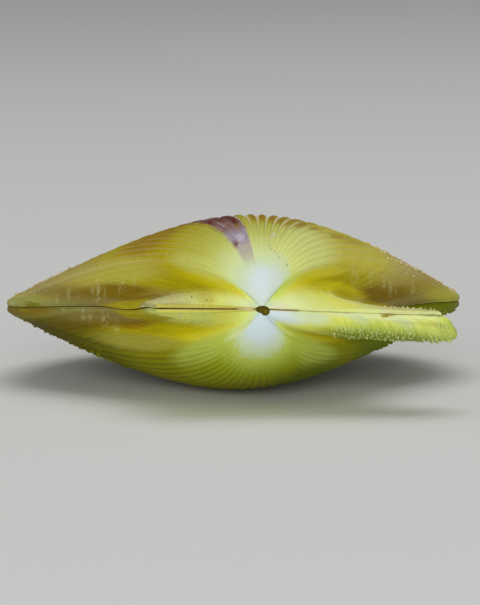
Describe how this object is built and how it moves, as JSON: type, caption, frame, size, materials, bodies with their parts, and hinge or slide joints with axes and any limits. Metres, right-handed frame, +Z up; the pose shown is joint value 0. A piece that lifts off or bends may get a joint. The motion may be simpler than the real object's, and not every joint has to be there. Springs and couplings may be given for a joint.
{
  "type": "closed scallop shell",
  "caption": "Closed pair of ribbed yellow scallop valves with unequal ears beside the beaks, lying on one valve.",
  "frame": {"origin": "centre of the bounding box in plan, on the surface that the shell lies on", "axes": "+Z up, +Y from the hinge towards the ventral margin, +X towards the shell's anterior ears, parallel to the hinge"},
  "size_m": [0.05, 0.0546, 0.0191],
  "materials": {
    "upper_shell": "satin",
    "lower_shell": "satin",
    "ligament_brown": "satin"
  },
  "bodies": {
    "root": {"left_valve": "upper_shell", "right_valve": "lower_shell", "ligament": "ligament_brown"}
  },
  "joints": []
}
